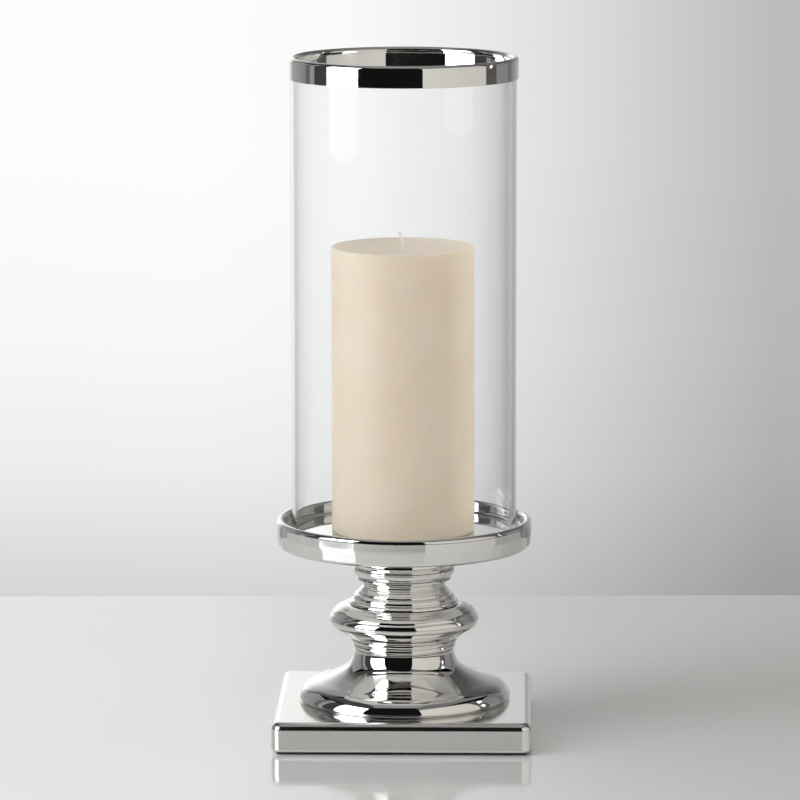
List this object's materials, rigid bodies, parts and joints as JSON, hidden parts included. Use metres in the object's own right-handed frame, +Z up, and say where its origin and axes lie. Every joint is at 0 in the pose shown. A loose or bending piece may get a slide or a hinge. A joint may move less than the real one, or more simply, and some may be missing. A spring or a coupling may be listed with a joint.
{
  "type": "hurricane candle lantern",
  "caption": "Mirror-plated turned pedestal on a square plinth, with a dished tray that holds a tall open glass cylinder round a pillar candle.",
  "frame": {"origin": "middle of the felt's underside, on the surface that the lantern stands on", "axes": "+Z up along the pedestal's turning axis; +X and +Y square to the plinth's sides, -Y towards the front"},
  "size_m": [0.1372, 0.1372, 0.3624],
  "materials": {
    "plated_metal": "polished",
    "clear_glass": "polished",
    "wax": "satin",
    "cotton": "matte",
    "steel": "satin",
    "felt": "matte"
  },
  "bodies": {
    "pedestal": {"base_felt": "felt", "plinth": "plated_metal", "base_washer": "steel", "lock_washer": "steel", "hex_nut": "steel", "tie_rod": "steel", "bell_foot": "plated_metal", "lower_collar": "plated_metal", "knop": "plated_metal", "neck_rings": "plated_metal", "top_collar": "plated_metal", "tray_bowl": "plated_metal", "tray_dish": "plated_metal", "tray_screw": "steel"},
    "chimney": {"glass_chimney": "clear_glass", "rim_band": "plated_metal"},
    "candle": {"candle": "wax", "wick": "cotton", "wick_clip": "steel"}
  },
  "joints": [
    {"name": "chimney_lift", "type": "slide", "parent": "pedestal", "child": "chimney", "axis": [0, 0, 1], "range_m": [0, 0.17]},
    {"name": "candle_lift", "type": "slide", "parent": "pedestal", "child": "candle", "axis": [0, 0, 1], "range_m": [0, 0.26]}
  ]
}
